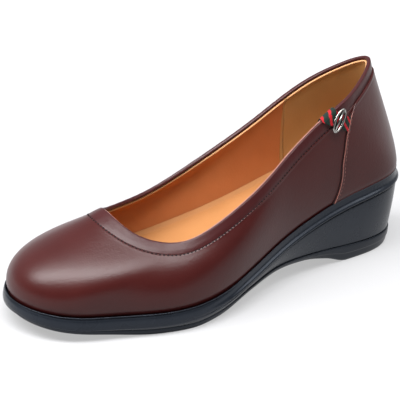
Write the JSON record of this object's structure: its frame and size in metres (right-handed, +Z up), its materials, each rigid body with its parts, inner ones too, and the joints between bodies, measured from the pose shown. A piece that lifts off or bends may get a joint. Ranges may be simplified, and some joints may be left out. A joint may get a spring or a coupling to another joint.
{
  "type": "wedge pump",
  "caption": "Women's low-cut leather wedge pump, left shoe, with a covered rand, heel counter, topline band and a ribbon tab with an oval metal slide.",
  "frame": {"origin": "middle of the floor under the shoe, on the plane that its heel and forefoot stand on", "axes": "+Z up, +Y from the toe to the heel, -Y the way the shoe walks, +X to the wearer's left, the outer side of this left shoe"},
  "size_m": [0.0926, 0.2467, 0.1113],
  "materials": {
    "leather": "satin",
    "sole_rubber": "satin",
    "tread_rubber": "matte",
    "lining_leather": "satin",
    "ribbon_web": "matte",
    "polished_metal": "polished"
  },
  "bodies": {
    "root": {"upper": "leather", "counter": "leather", "topline_band": "leather", "midsole": "sole_rubber", "outsole": "tread_rubber", "insole": "lining_leather", "ribbon_tab": "ribbon_web", "ribbon_slide": "polished_metal"}
  },
  "joints": []
}
